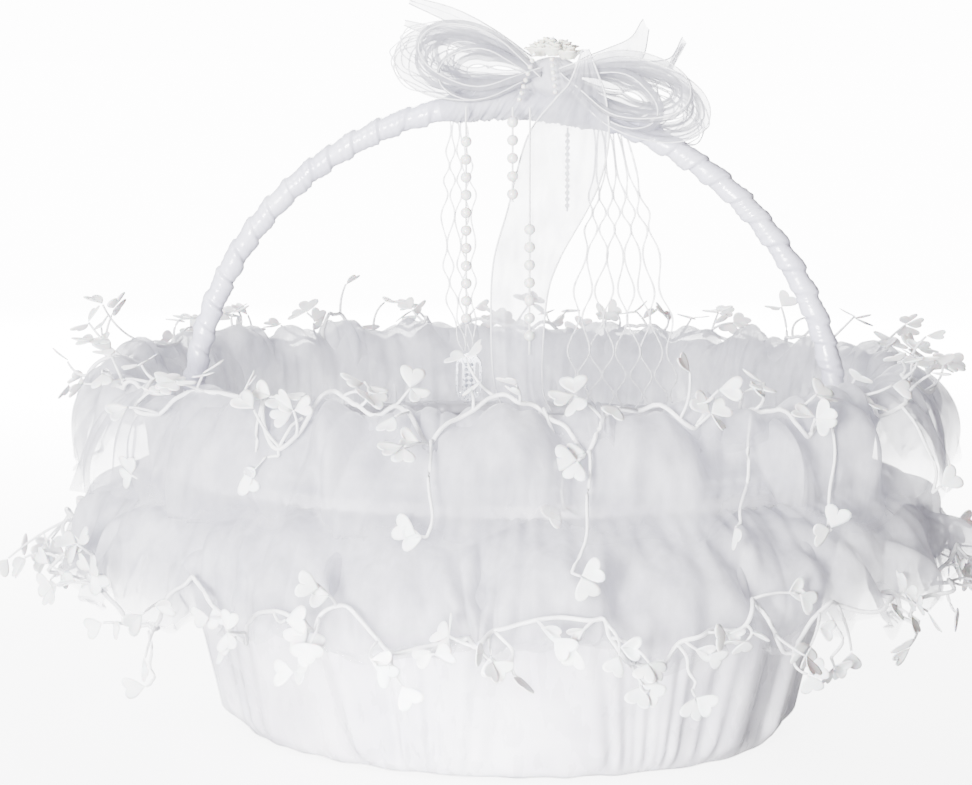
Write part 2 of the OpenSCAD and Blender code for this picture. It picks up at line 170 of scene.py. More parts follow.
def along_line(points, t):
    """Points at shares t of a smooth curve's length, through a list of points."""
    points = np.asarray(points, float)
    ends = np.vstack([2 * points[0] - points[1], points, 2 * points[-1] - points[-2]])
    dense = []
    for i in range(len(points) - 1):
        a, b, c, d = ends[i : i + 4]
        u = np.linspace(0, 1, 24, endpoint=False)[:, None]
        dense.append(
            0.5 * (2 * b + (c - a) * u + (2 * a - 5 * b + 4 * c - d) * u**2
                   + (3 * b - a - 3 * c + d) * u**3)
        )
    dense = np.vstack([*dense, points[-1:]])
    far = np.concatenate([[0], np.cumsum(np.linalg.norm(np.diff(dense, axis=0), axis=1))])
    t = np.asarray(t, float) * far[-1]
    return np.stack([np.interp(t, far, dense[:, k]) for k in range(dense.shape[1])], -1)


def grid_faces(rows, columns, close_rows=False, close_columns=False):
    """Quads of a grid of rows x columns points, numbered row by row."""
    faces = []
    for i in range(rows if close_rows else rows - 1):
        for j in range(columns if close_columns else columns - 1):
            k, n = (i + 1) % rows, (j + 1) % columns
            faces.append((i * columns + j, i * columns + n, k * columns + n, k * columns + j))
    return faces


def unit(v):
    """Vectors of length one, along the last axis."""
    return v / np.maximum(np.linalg.norm(v, axis=-1, keepdims=True), 1e-9)


def tube(points, radius, sides=8, closed=False):
    """Vertices and faces of a round tube along points. radius is a number or one per point."""
    points = np.asarray(points, float)
    count = len(points)
    if closed:
        ahead, behind = np.roll(points, -1, 0), np.roll(points, 1, 0)
    else:
        ahead = np.vstack([points[1:], points[-1:]])
        behind = np.vstack([points[:1], points[:-1]])
    t = unit(ahead - behind)
    up = np.where(np.abs(t[:, 2:3]) > 0.9, [[0.0, 1.0, 0.0]], [[0.0, 0.0, 1.0]])
    u = unit(np.cross(t, up))
    v = np.cross(u, t)
    a = np.arange(sides) * TAU / sides
    r = np.broadcast_to(np.asarray(radius, float), (count,))[:, None, None]
    rings = points[:, None] + r * (
        np.cos(a)[None, :, None] * u[:, None] + np.sin(a)[None, :, None] * v[:, None]
    )
    faces = grid_faces(count, sides, closed, True)
    if not closed:
        faces.append(tuple(range(sides))[::-1])
        faces.append(tuple(range((count - 1) * sides, count * sides)))
    return rings.reshape(-1, 3), faces


class Build:
    """Gathers vertices and faces of many like things into one mesh."""

    def __init__(self):
        self.verts, self.faces, self.count = [], [], 0

    def add(self, verts, faces):
        self.verts.append(np.asarray(verts, float))
        self.faces += [tuple(k + self.count for k in face) for face in faces]
        self.count += len(verts)

    def points(self):
        return np.vstack(self.verts)


def piece(name, verts, faces, material, body, slot, replaces=(), thick=0.0, ride=True):
    """Makes a mesh piece from millimetres, smooth, with its material, body and CAD nodes.

    thick gives a sheet that thickness in millimetres.
    """
    mesh = bpy.data.meshes.new(name)
    mesh.from_pydata((np.asarray(verts, float) * MM).tolist(), [], faces)
    mesh.validate()
    mesh.polygons.foreach_set("use_smooth", [True] * len(mesh.polygons))
    mesh.materials.append(material)
    obj = bpy.data.objects.new(name, mesh)
    bpy.context.scene.collection.objects.link(obj)
    if thick:
        solid = obj.modifiers.new("thickness", "SOLIDIFY")
        solid.thickness = thick * MM
        solid.offset = 0
    if ride:
        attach(obj, body)
    if replaces:
        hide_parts(*replaces)
    return obj


def face_area(obj):
    """Area of all the faces of a piece in square metres."""
    return sum(face.area for face in obj.data.polygons)


# ---- camera -------------------------------------------------------------------------------


def add_camera(azimuth, height, aim, lens):
    """A camera one metre from the upright axis, turned to the right by azimuth degrees."""
    turn = math.radians(azimuth)
    data = bpy.data.cameras.new("camera")
    data.lens = lens
    camera = bpy.data.objects.new("camera", data)
    camera.location = (math.sin(turn), -math.cos(turn), height)
    direction = Vector(aim) - camera.location
    camera.rotation_euler = direction.to_track_quat("-Z", "Y").to_euler()
    bpy.context.scene.collection.objects.link(camera)
    bpy.context.scene.camera = camera


# ---- materials ----------------------------------------------------------------------------


class Nodes:
    """A small helper that builds a material's node tree."""

    def __init__(self, name):
        self.material = bpy.data.materials.new(name)
        self.material.use_nodes = True
        self.tree = self.material.node_tree
        self.shader = self.tree.nodes["Principled BSDF"]
        self.output = self.tree.nodes["Material Output"]
        self.place = self.add("ShaderNodeTexCoord").outputs["Object"]

    def add(self, kind, inputs=(), **options):
        node = self.tree.nodes.new(kind)
        for key, value in options.items():
            setattr(node, key, value)
        for key, value in dict(inputs).items():
            self.put(value, node.inputs[key])
        return node

    def put(self, value, socket):
        if isinstance(value, bpy.types.NodeSocket):
            self.tree.links.new(value, socket)
        else:
            socket.default_value = value

    def set(self, **values):
        """Sets the Principled shader's sockets; a _ in a name stands for a space."""
        for key, value in values.items():
            self.put(value, self.shader.inputs[key.replace("_", " ")])

    def noise(self, scale, detail=3.0, stretch=(1, 1, 1)):
        place = self.add(
            "ShaderNodeMapping", {"Vector": self.place, "Scale": stretch}
        ).outputs["Vector"]
        return self.add(
            "ShaderNodeTexNoise", {"Vector": place, "Scale": scale, "Detail": detail}
        ).outputs["Fac"]

    def stripes(self, scale, direction="Z", distortion=0.0):
        return self.add(
            "ShaderNodeTexWave",
            {"Vector": self.place, "Scale": scale, "Distortion": distortion},
            bands_direction=direction,
        ).outputs["Fac"]

    def math(self, operation, a, b=0.0):
        node = self.add("ShaderNodeMath", operation=operation)
        self.put(a, node.inputs[0])
        self.put(b, node.inputs[1])
        return node.outputs[0]

    def ramp(self, fac, low, high, start=0.3, end=0.7):
        """A number or a colour that runs from low to high while fac goes from start to end."""
        if isinstance(low, (int, float)):
            return self.add(
                "ShaderNodeMapRange",
                {"Value": fac, "From Min": start, "From Max": end, "To Min": low, "To Max": high},
            ).outputs["Result"]
        node = self.add("ShaderNodeValToRGB", {"Fac": fac})
        node.color_ramp.elements[0].position = start
        node.color_ramp.elements[0].color = (*low, 1)
        node.color_ramp.elements[1].position = end
        node.color_ramp.elements[1].color = (*high, 1)
        return node.outputs["Color"]

    def bump(self, height, strength, distance, after=None):
        node = self.add(
            "ShaderNodeBump", {"Height": height, "Strength": strength, "Distance": distance}
        )
        if after is not None:
            self.put(after, node.inputs["Normal"])
        return node.outputs["Normal"]

    def mix(self, share, first, second):
        """Two shaders in one, where share is how much of the second is seen."""
        return self.add("ShaderNodeMixShader", {0: share, 1: first, 2: second}).outputs[0]


def satin_material(name, low, high, roughness):
    """Smooth glossy satin: soft broad gloss, a fine twill and slow changes of tone."""
    n = Nodes(name)
    tone = n.noise(38.0, 3.0)
    twill = n.stripes(2600.0, "DIAGONAL", 0.4)
    creases = n.noise(160.0, 4.0, (1, 1, 0.25))
    normal = n.bump(twill, 0.10, 0.00004)
    normal = n.bump(creases, 0.34, 0.0006, normal)
    n.set(
        Base_Color=n.ramp(tone, low, high),
        Roughness=n.ramp(creases, roughness - 0.05, roughness + 0.09),
        Normal=normal,
        Sheen_Weight=0.08,
        Sheen_Roughness=0.35,
        Specular_IOR_Level=0.9,
        Anisotropic=0.35,
    )
    return n.material


def sheer_material(name, low, high, dense, thin, through=0.5):
    """Sheer cloth: threads with gaps between them, which let the light through.

    dense and thin are how much of it is thread where it is thickest and thinnest, and
    through is the share of the light on a thread that goes on through it. A gathered ring
    thins out towards its free edge, where its layers are no longer bunched.
    """
    n = Nodes(name)
    cloudy = n.noise(60.0, 4.0)
    fibres = n.noise(260.0, 3.0, (1, 1, 0.3))
    weave = n.math("MULTIPLY", *[n.stripes(3200.0, way, 0.2) for way in ("X", "Z")])
    cover = n.math(
        "ADD",
        n.ramp(cloudy, thin, dense),
        n.math("ADD", n.ramp(fibres, -0.08, 0.08), n.ramp(weave, -0.03, 0.03, 0, 1)),
    )
    across = n.add("ShaderNodeAttribute", attribute_name="across").outputs["Fac"]
    cover = n.math("MULTIPLY", cover, n.ramp(across, 1.0, 0.30, 0.72, 1.0))
    normal = n.bump(fibres, 0.35, 0.0006)
    colour = n.ramp(cloudy, low, high)
    n.set(
        Base_Color=colour,
        Roughness=0.55,
        Normal=normal,
        Sheen_Weight=0.5,
        Sheen_Roughness=0.4,
        Specular_IOR_Level=0.4,
    )
    glow = n.add("ShaderNodeBsdfTranslucent", {"Color": colour, "Normal": normal}).outputs[0]
    cloth = n.mix(through, n.shader.outputs[0], glow)
    gaps = n.add("ShaderNodeBsdfTransparent").outputs[0]
    n.put(n.mix(cover, gaps, cloth), n.output.inputs["Surface"])
    return n.material


def petal_material():
    """Punched white felt-backed satin with a fine grain."""
    n = Nodes("petal")
    tone = n.noise(220.0, 2.0)
    grain = n.noise(2400.0, 2.0)
    n.set(
        Base_Color=n.ramp(tone, (0.80, 0.80, 0.82), (0.90, 0.90, 0.90)),
        Roughness=n.ramp(tone, 0.5, 0.7),
        Normal=n.bump(grain, 0.2, 0.0001),
        Sheen_Weight=0.4,
        Subsurface_Weight=0.15,
        Subsurface_Scale=0.002,
    )
    return n.material


def felt_material(name, low, high):
    """Soft matt wadding or foam with a fine grain."""
    n = Nodes(name)
    tone = n.noise(180.0, 3.0)
    grain = n.noise(1800.0, 3.0)
    n.set(
        Base_Color=n.ramp(tone, low, high),
        Roughness=n.ramp(tone, 0.65, 0.85),
        Normal=n.bump(grain, 0.35, 0.0002),
        Sheen_Weight=0.4,
        Subsurface_Weight=0.1,
        Subsurface_Scale=0.002,
    )
    return n.material


def yarn_material():
    """Fine fuzzy white yarn, which lets some light past."""
    n = Nodes("net")
    ply = n.stripes(2200.0, "DIAGONAL", 0.6)
    n.set(
        Base_Color=n.ramp(ply, (0.78, 0.78, 0.82), (0.92, 0.92, 0.93), 0, 1),
        Roughness=n.ramp(ply, 0.45, 0.65, 0, 1),
        Normal=n.bump(ply, 0.4, 0.0001),
        Sheen_Weight=0.4,
        Alpha=n.ramp(n.noise(500.0, 3.0), 0.45, 0.8),
    )
    return n.material


def cord_material():
    """Twisted satin cord: bright slanting strands."""
    n = Nodes("satin_cord")
    strands = n.stripes(1400.0, "DIAGONAL", 0.5)
    tone = n.noise(90.0, 2.0)
    n.set(
        Base_Color=n.ramp(tone, (0.80, 0.80, 0.84), (0.92, 0.92, 0.93)),
        Roughness=n.ramp(strands, 0.24, 0.4, 0, 1),
        Normal=n.bump(strands, 0.5, 0.0002),
        Specular_IOR_Level=0.7,
        Sheen_Weight=0.3,
    )
    return n.material


def pearl_material():
    n = Nodes("pearl")
    tone = n.noise(300.0, 2.0)
    n.set(
        Base_Color=n.ramp(tone, (0.80, 0.79, 0.77), (0.88, 0.87, 0.85)),
        Roughness=n.ramp(tone, 0.16, 0.26),
        Coat_Weight=0.6,
        Coat_Roughness=0.08,
        Specular_IOR_Level=0.7,
        Subsurface_Weight=0.2,
        Subsurface_Scale=0.002,
        Normal=n.bump(n.noise(1500.0, 2.0), 0.05, 0.0001),
    )
    return n.material


def thread_material():
    n = Nodes("thread")
    ply = n.stripes(3000.0, "DIAGONAL", 0.5)
    n.set(
        Base_Color=n.ramp(ply, (0.72, 0.72, 0.74), (0.88, 0.88, 0.88), 0, 1),
        Roughness=n.ramp(ply, 0.35, 0.55, 0, 1),
        Normal=n.bump(ply, 0.4, 0.0001),
        Sheen_Weight=0.3,
    )
    return n.material


def wood_material(name, low, high, scale=60.0):
    """Cane, plywood and other wood: long grain with darker streaks."""
    n = Nodes(name)
    grain = n.noise(scale, 6.0, (0.2, 1, 3))
    pores = n.noise(scale * 12, 2.0, (0.1, 1, 2))
    n.set(
        Base_Color=n.ramp(grain, low, high),
        Roughness=n.ramp(pores, 0.5, 0.75),
        Normal=n.bump(pores, 0.3, 0.0002),
    )
    return n.material


def wicker_material():
    """Woven cane: level rows of weavers, darker between them."""
    n = Nodes("wicker")
    rows = n.stripes(120.0, "Z", 0.3)
    grain = n.noise(400.0, 3.0, (1, 1, 4))
    n.set(
        Base_Color=n.ramp(rows, (0.36, 0.22, 0.11), (0.66, 0.48, 0.28), 0, 1),
        Roughness=n.ramp(grain, 0.45, 0.7),
        Normal=n.bump(rows, 0.9, 0.001, n.bump(grain, 0.3, 0.0003)),
    )
    return n.material


def metal_material(name, colour, roughness):
    n = Nodes(name)
    scratches = n.noise(900.0, 3.0, (1, 8, 1))
    n.set(
        Base_Color=n.ramp(scratches, tuple(0.8 * c for c in colour), colour),
        Metallic=1.0,
        Roughness=n.ramp(scratches, roughness, roughness + 0.18),
        Normal=n.bump(scratches, 0.1, 0.00005),
    )
    return n.material


def stone_material():
    n = Nodes("crystal")
    tone = n.noise(900.0, 1.0)
    n.set(
        Base_Color=n.ramp(tone, (0.30, 0.32, 0.38), (0.75, 0.78, 0.85)),
        Roughness=n.ramp(tone, 0.03, 0.1),
        Metallic=0.35,
        Coat_Weight=1.0,
        Coat_Roughness=0.03,
    )
    return n.material


SATIN = satin_material("satin", (0.50, 0.49, 0.55), (0.68, 0.675, 0.71), 0.27)
SATIN_WRAP = satin_material("satin_ribbon", (0.58, 0.58, 0.70), (0.74, 0.74, 0.83), 0.24)
ORGANZA = sheer_material("organza", (0.62, 0.62, 0.68), (0.77, 0.77, 0.81), 0.87, 0.68)
ORGANZA_RIBBON = sheer_material(
    "organza_ribbon", (0.60, 0.60, 0.67), (0.76, 0.76, 0.81), 0.70, 0.42,
)
ORGANZA_KNOT = sheer_material(
    "organza_folded", (0.60, 0.60, 0.68), (0.74, 0.74, 0.80), 0.92, 0.75, through=0.35
)
PETAL = petal_material()
BATTING = felt_material("batting", (0.80, 0.79, 0.77), (0.90, 0.90, 0.88))
ROSETTE = felt_material("rosette", (0.78, 0.76, 0.66), (0.90, 0.89, 0.82))
NET = yarn_material()
CORD = cord_material()
PEARL = pearl_material()
THREAD = thread_material()


# ---- cords: the threads of the pearl strands ----------------------------------------------


def hanging_thread(name, body, node, bead_node):
    """The thread of one strand, with its beads, straight down from the bow."""
    low, high = cad_box(node)
    middle = (low + high) / 2
    length = high.z - low.z
    steps = 16
    curve = bpy.data.curves.new(name, "CURVE")
    curve.dimensions = "3D"
    curve.bevel_depth = (high.x - low.x) / 2 * MM
    curve.bevel_resolution = 3
    curve.use_fill_caps = True
    spline = curve.splines.new("POLY")
    spline.points.add(steps)
    for i, point in enumerate(spline.points):
        z = high.z - length * i / steps
        point.co = (middle.x * MM, middle.y * MM, z * MM, 1)
    curve.materials.append(THREAD)
    obj = bpy.data.objects.new(name, curve)
    bpy.context.scene.collection.objects.link(obj)
    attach(obj, body)
    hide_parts(node)
    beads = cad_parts[bead_node]
    beads.data.materials.clear()
    beads.data.materials.append(PEARL)


add_camera(azimuth=8, height=0.285, aim=(-0.0095, 0, 0.140), lens=90.4)
hanging_thread("thread_left", "pearl_strand_left", "pearl_thread_left", "pearls_left")
hanging_thread("thread_short", "pearl_strand_short", "pearl_thread_short", "pearls_short")
hanging_thread("thread_long", "pearl_strand_long", "pearl_thread_long", "pearls_long")
hanging_thread("thread_beads", "bead_strand", "bead_thread", "seed_beads")


# ---- satin cover --------------------------------------------------------------------------

# Points round each satin ring
AROUND = 960


def ring_sheet(name, surface, rows, around, **options):
    """A closed ring of cloth from surface(fraction, share), with its area in square metres."""
    f, v = np.meshgrid(np.arange(around) / around, np.linspace(0, 1, rows))
    verts = surface(f, v).reshape(-1, 3)
    obj = piece(name, verts, grid_faces(rows, around, False, True), **options)
    across = obj.data.attributes.new("across", "FLOAT", "POINT")
    across.data.foreach_set("value", v.ravel().astype(np.float32))
    return obj, face_area(obj)


def profile_surface(line, depth, tops):
    """A ring surface that follows a profile line of [out, height], displaced along its normal.

    depth(f, v) is how far the cloth stands off its line and tops(f, v) shifts it up.
    """

    def surface(f, v):
        at = along_line(line, v)
        ahead = along_line(line, np.clip(v + 0.01, 0, 1)) - along_line(
            line, np.clip(v - 0.01, 0, 1)
        )
        slope = unit(ahead)
        off = depth(f, v)
        out = at[..., 0] + slope[..., 1] * off
        z = at[..., 1] - slope[..., 0] * off + tops(f, v)
        x, y = oval_xy(f, out)
        return np.stack([x, y, z], -1)

    return surface


def level(f, v):
    """No shift up or down."""
    return 0 * f


def satin_ring(name, node, surface, rows, thick=0.4):
    """A closed ring of satin that stands for one CAD node."""
    obj, _ = ring_sheet(
        name, surface, rows, AROUND, material=SATIN, body="basket", slot="satin",
        replaces=[node], thick=thick,
    )


def cover_folds(f, v):
    """Soft upright folds of the satin cover, deeper low down, where the cloth is gathered in."""
    lean = 0.018 * waves(11, 3, 9)(f) * (1 - v)
    big = waves(12, 14, 30, 8)(f + lean)
    fine = waves(13, 44, 84, 8)(f + 1.4 * lean)
    hem = np.exp(-(((v - 0.12) / 0.1) ** 2))
    high = 1 - smooth_step(v, 0.75, 1.0)
    off = (3.1 * big + 0.7 * fine + 0.9 * hem * fine) * (0.25 + 0.75 * high)
    clear_of_wall = np.log1p(np.exp(1.6 * (off + 1.9))) / 1.6 - 1.0
    return clear_of_wall * smooth_step(v, 0.09, 0.18)


def make_cover():
    line = [
        (wall_out(0) - 11, 1.3), (wall_out(0) - 2.5, 1.3), (wall_out(0) + 1.0, 2.4),
        (wall_out(8) + 2.1, 9), (wall_out(27) + 2.2, 27), (wall_out(60) + 2.2, 60),
        (wall_out(96) + 2.2, 96), (wall_out(106) + 3.1, 106), (wall_out(RIM_TOP) + 3.1, 118.4),
    ]

    def hem_wave(f, v):
        return 0.35 * (1 + waves(14, 20, 50, 8)(f)) * np.exp(-(((v - 0.08) / 0.06) ** 2))

    surface = profile_surface(line, cover_folds, hem_wave)
    satin_ring(
        "satin_cover_cloth", "satin_cover", surface, 64,
    )


make_cover()


# ---- lining, rim and floor of the basket --------------------------------------------------

# How far the binding comes down on each side of the rim, and how wide it is over the top
FLAP = 3.5
BINDING_WIDTH = 14.8


def make_lining():
    inner = LINING_OUT - 0.5
    low = cad_box("satin_lining")[0].z
    line = [(wall_out(low) + inner, low), (wall_out(60) + inner, 60), (wall_out(118) + inner, 118)]

    def folds(f, v):
        lean = 0.006 * waves(15, 3, 9)(f) * v
        soft = waves(16, 18, 40, 8)(f + lean)
        fine = waves(17, 60, 120, 8)(f)
        loose = smooth_step(v, 0, 0.3) * (1 - 0.6 * smooth_step(v, 0.8, 1))
        return soft * loose + 0.35 * fine

    satin_ring(
        "satin_lining_cloth", "satin_lining", profile_surface(line, folds, level), 40,
    )


def make_binding():
    """Bias-cut satin folded over the rim, with a soft roll and the pull of its stitches."""
    high = cad_box("rim_binding")[1]
    outer = high.x - RIM_A - 0.5
    inner = outer - BINDING_WIDTH
    top = high.z - 0.5
    line = [
        (outer, top - FLAP - 0.3), (outer, top - 1.6), (outer - 1.4, top - 0.1),
        ((outer + inner) / 2, top + 0.5), (inner + 1.4, top - 0.1), (inner, top - 1.6),
        (inner, top - FLAP - 0.3),
    ]
    pull = waves(18, 80, 140, 8)
    soft = waves(19, 12, 40, 8)

    def folds(f, v):
        edge = np.abs(v - 0.5) * 2
        return 0.3 * pull(f) * edge + 0.5 * soft(f) * (1 - edge)

    satin_ring(
        "rim_binding_cloth", "rim_binding", profile_surface(line, folds, level), 24,
    )


def make_heading():
    """The band that both ruffles are gathered onto, with a row of stitches along each edge."""
    low, high = cad_box("heading_band")
    out = high.x - RIM_A - wall_out(high.z) - 0.5
    line = [(wall_out(low.z) + out, low.z), (wall_out(high.z) + out, high.z)]
    gathers = waves(20, 100, 180, 8)
    surface = profile_surface(line, lambda f, v: 0.25 * gathers(f), level)
    satin_ring(
        "heading_band_ribbon", "heading_band", surface, 8,
        thick=0.5,
    )
    stitches = Build()
    count = 200
    for row in (0.15, 0.85):
        for i in range(count):
            f = (i + np.linspace(0.15, 0.75, 4)) / count
            z = low.z + (high.z - low.z) * row
            x, y = oval_xy(f, wall_out(z) + out + 0.45)
            stitches.add(*tube(np.stack([x, y, z + 0 * f], -1), 0.22, 5))
    piece("heading_stitches", stitches.points(), stitches.faces, THREAD, "basket", "thread")


def oval_slab(low, high, out, crown, spokes=160, rings=16):
    """A flat oval pad with round edges whose top rises by crown in its middle."""
    f = np.arange(spokes) / spokes
    t = high - low
    verts, faces = [], []
    for side in (0, 1):
        for k in range(1, rings + 1):
            share = k / rings
            x, y = oval_xy(f, out)
            edge = np.clip((share - 0.94) / 0.06, 0, 1)
            drop = t / 2 * (1 - math.sqrt(1 - edge**2))
            bulge = crown * (1 - share**2)
            z = high + bulge - drop if side else low + drop
            verts.append(np.stack([x * share, y * share, np.full_like(x, z)], -1))
    rows = verts[:rings] + verts[rings:][::-1]
    points = np.vstack([*rows, [[0, 0, low]], [[0, 0, high + crown]]])
    faces = grid_faces(2 * rings, spokes, False, True)
    bottom, top, last = 2 * rings * spokes, 2 * rings * spokes + 1, (2 * rings - 1) * spokes
    for j in range(spokes):
        faces.append((bottom, (j + 1) % spokes, j))
        faces.append((top, last + j, last + (j + 1) % spokes))
    return points, faces


def swell(obj, pressure, cap, voxel):
    """Blows a pad up as cloth, lets no point move further than cap, and keeps the result."""
    remesh = obj.modifiers.new("remesh", "REMESH")
    remesh.mode = "VOXEL"
    remesh.voxel_size = voxel
    bpy.context.view_layer.objects.active = obj
    obj.select_set(True)
    bpy.ops.object.modifier_apply(modifier=remesh.name)
    start = np.zeros(len(obj.data.vertices) * 3, np.float32)
    obj.data.vertices.foreach_get("co", start)
    cloth = obj.modifiers.new("cloth", "CLOTH")
    cloth.settings.use_pressure = True
    cloth.settings.uniform_pressure_force = pressure
    cloth.settings.quality = 5
    cloth.settings.effector_weights.gravity = 0
    scene = bpy.context.scene
    for number in range(1, 21):
        scene.frame_set(number)
    moved = np.zeros_like(start)
    shape = obj.evaluated_get(bpy.context.evaluated_depsgraph_get())
    shape.data.vertices.foreach_get("co", moved)
    obj.modifiers.remove(cloth)
    scene.frame_set(1)
    shift = (moved - start).reshape(-1, 3)
    far = np.linalg.norm(shift, axis=1, keepdims=True)
    shift *= np.minimum(1, cap / np.maximum(far, 1e-9))
    obj.data.vertices.foreach_set("co", (start.reshape(-1, 3) + shift).ravel().astype(np.float32))
    obj.data.polygons.foreach_set("use_smooth", [True] * len(obj.data.polygons))
    obj.data.update()
    smooth = obj.modifiers.new("smooth", "SUBSURF")
    smooth.levels = smooth.render_levels = 1
    obj.select_set(False)


def make_floor_layers():
    """The wadded pad and the satin-covered card in the bottom, and the card underneath."""
    for node, name, material, slot, crown, fill in (
        ("floor_pad", "floor_pad_wadding", BATTING, "batting", -0.2, 0.4),
        ("floor_card", "floor_card_satin", SATIN, "satin", 0.9, 0.3),
        ("base_cover", "base_cover_satin", SATIN, "satin", 0.0, None),
    ):
        low, high = cad_box(node)
        points, faces = oval_slab(low.z, high.z, high.x - RIM_A, crown)
        obj = piece(name, points, faces, material, "basket", slot, [node])
        if node == "floor_pad":
            swell(obj, 1.0, 0.0004, 0.0028)


make_lining()
make_binding()
make_heading()
make_floor_layers()


# ---- ruffles ------------------------------------------------------------------------------


def ruffle_surface(line, seed, gathers, depth):
    """Surface of a gathered strip: fine gathers at its heading, wide soft puffs at its edge."""
    big = waves(seed, gathers * 2 // 3, gathers * 4 // 3, 9)
    crease = puffs(seed + 1, gathers + 5, 0.9)
    fine = waves(seed + 2, 100, 150, 8)
    slow = waves(seed + 3, 3, 9)
    sway = waves(seed + 4, gathers // 2, gathers, 6)
    drop = waves(seed + 5, 8, 40, 8)
    lumps = waves(seed + 6, 9, 20, 8)
    cloud = clouds(seed + 7, 14, 34, 1.8)
    crumple = clouds(seed + 8, 40, 84, 3.2)

    def surface(f, v):
        share = v * (1 + 0.085 * drop(f))
        at = along_line(line, np.clip(share, 0, 1))
        back = along_line(line, np.clip(share - 0.02, 0, 1))
        front = along_line(line, np.clip(share + 0.02, 0, 1))
        slope = unit(front - back)
        f2 = f + 0.007 * sway(f) * v**1.3
        slant = f + 0.012 * slow(f) * v
        opened = smooth_step(v, 0.0, 0.7)
        off = depth * opened * (0.30 * big(slant) + 0.36 * (crease(slant + 0.003 * v) - 0.6))
        off = off + depth * opened * (0.48 * cloud(f, v) + 0.16 * crumple(f2, v))
        off = off + 0.3 * depth * opened * np.sin(TAU * (1.1 * v + 0.35 * lumps(f)))
        off = off + 0.7 * fine(f2) * (1 - smooth_step(v, 0.05, 0.45)) + 0.22 * fine(slant)
        off = off + 2.0 * slow(f) * v
        extra = np.clip(share - 1, 0, 1) * 60
        out = at[..., 0] - slope[..., 1] * off
        z = at[..., 1] + slope[..., 0] * off - extra
        x, y = oval_xy(f2, out)
        return np.stack([x, y, z], -1)

    return surface


# Profiles of the ruffles as [out from the rim, height], from the heading to the free edge
LOWER_LINE = [(8.6, 111), (17, 108.5), (28, 101.5), (37, 91), (41.5, 80), (40.4, 68)]
UPPER_LINE = [
    (8.6, 116), (11, 131), (16, 144), (23.5, 150), (32, 146.5), (38.5, 137), (41.5, 124), (41, 111)
]
UNDER_LINE = [(8.6, 108), (15, 105), (25, 98), (32, 88), (34, 78), (33, 70)]
INNER_LINE = [(8.6, 117), (9, 130), (12, 143), (17, 151), (23, 153), (28, 149), (31, 140)]

lower_outer = ruffle_surface(LOWER_LINE, 21, 24, 8)
lower_inner = ruffle_surface(UNDER_LINE, 31, 27, 6)
upper_outer = ruffle_surface(UPPER_LINE, 41, 24, 8)
upper_inner = ruffle_surface(INNER_LINE, 51, 26, 6)


def make_ruffle(name, surface, replaces=()):
    obj, area = ring_sheet(
        name, surface, 40, 1440, material=ORGANZA, body="basket", slot="organza",
        replaces=replaces,
    )


make_ruffle("lower_ruffle_outer", lower_outer, ["lower_ruffle"])
make_ruffle("lower_ruffle_under", lower_inner)
make_ruffle("upper_ruffle_outer", upper_outer, ["upper_ruffle"])
make_ruffle("upper_ruffle_inner", upper_inner)


# ---- handle -------------------------------------------------------------------------------


def handle_point(angle, r, around):
    """Point at an angle of the handle's arc, r from its middle line and turned around it."""
    d = HANDLE_R + r * np.cos(around)
    return np.stack(
        [d * np.cos(angle), r * np.sin(around), HANDLE_Z + d * np.sin(angle)], -1
    )


def make_wrap():
    """Satin ribbon wound round the cane: each turn laps over the last one in a slanting step."""
    turns = 37
    rows, sides = turns * 22, 32
    ridge = 1.25
    start = math.radians(0.6)
    s, a = np.meshgrid(np.linspace(0, 1, rows), np.arange(sides) / sides, indexing="ij")
    uneven = waves(61, 5, 30, 8)
    phase = turns * s + a + 0.10 * uneven(s)
    lap = phase - np.floor(phase)
    step = smooth_step(lap, 0.0, 0.16) * (1 - 0.75 * smooth_step(lap, 0.16, 1.0))
    crease = waves(62, 60, 160, 8)(s + 0.02 * a)
    padding = waves(63, 20, 45, 8)(s)
    r = WRAP_R - 0.6 + ridge * step + 0.14 * crease + 0.22 * padding
    angle = start + s * (math.pi - 2 * start)
    verts = handle_point(angle, r, a * TAU)
    piece(
        "handle_wrap_ribbon", verts.reshape(-1, 3), grid_faces(rows, sides, False, True),
        SATIN_WRAP, "basket", "satin_ribbon", ["handle_wrap"],
    )


make_wrap()


# ---- vine, sprigs and petals --------------------------------------------------------------


def heart(width, cup, fold):
    """Vertices and faces of one heart-shaped petal, its point at the origin, its notch at +X."""
    spokes, rings = 24, 4
    a = np.arange(spokes) * TAU / spokes
    edge = np.stack(
        [
            1 + (13 * np.cos(a) - 5 * np.cos(2 * a) - 2 * np.cos(3 * a)) / 16,
            np.sin(a) ** 3,
        ],
        -1,
    ) * width / 2
    centre = np.array([0.5 * width, 0])
    verts = [[centre[0], centre[1], 0]]
    for k in range(1, rings + 1):
        share = k / rings
        ring = centre + (edge - centre) * share
        z = cup * (share**2) * width * 0.5 + fold * np.abs(ring[:, 1])
        verts += np.column_stack([ring, z]).tolist()
    faces = [(0, 1 + j, 1 + (j + 1) % spokes) for j in range(spokes)]
    for k in range(rings - 1):
        a0, b0 = 1 + k * spokes, 1 + (k + 1) * spokes
        faces += [
            (a0 + j, b0 + j, b0 + (j + 1) % spokes, a0 + (j + 1) % spokes) for j in range(spokes)
        ]
    return np.array(verts), faces


def facing(direction, normal):
    """Rotation whose X is the direction and whose Z is near the normal."""
    x = unit(np.asarray(direction, float))
    y = unit(np.cross(normal, x))
    z = np.cross(x, y)
    return np.column_stack([x, y, z])


